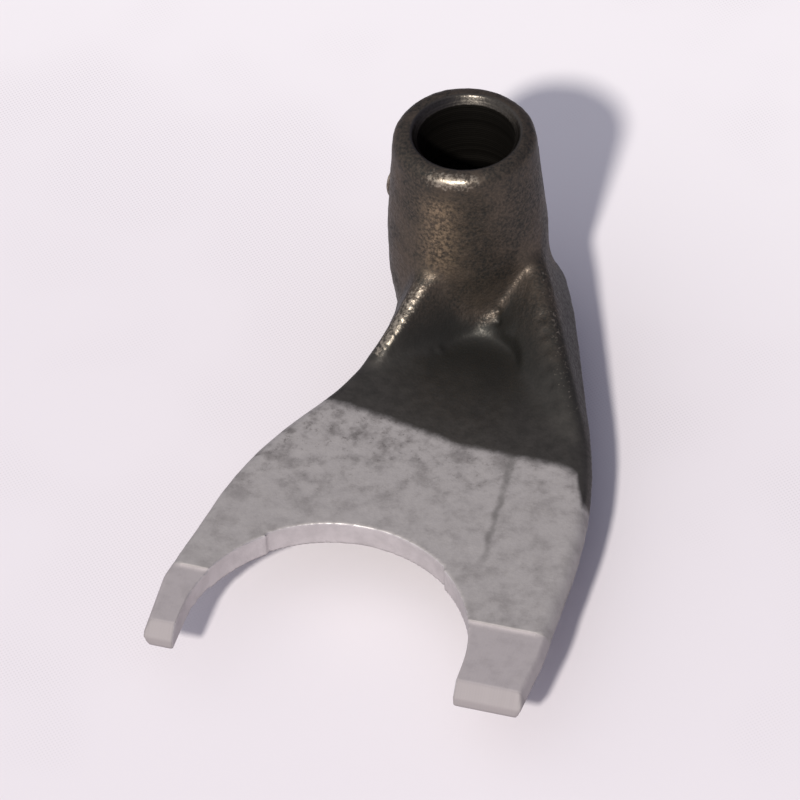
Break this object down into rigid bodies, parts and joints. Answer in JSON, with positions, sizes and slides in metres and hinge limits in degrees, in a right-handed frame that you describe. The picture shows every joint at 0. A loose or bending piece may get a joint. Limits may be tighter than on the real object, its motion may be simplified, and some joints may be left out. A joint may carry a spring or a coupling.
{
  "type": "shift fork",
  "caption": "Forged gearbox selector fork: barrel boss with a plain bore, ribbed flat arm, open claw with stepped pads, and a short guide pin on the boss.",
  "frame": {"origin": "on the bore's axis, level with the upper face of the arm", "axes": "+Z along the bore's axis towards the tall end of the boss, -Y from the boss towards the claw, +X towards the wider finger"},
  "size_m": [0.0477, 0.0795, 0.034],
  "materials": {
    "forged_steel": "dark forged skin on the boss and ribs, blasted light grey plate, ground pads"
  },
  "bodies": {
    "root": {"shift_fork": "forged_steel"}
  },
  "joints": []
}
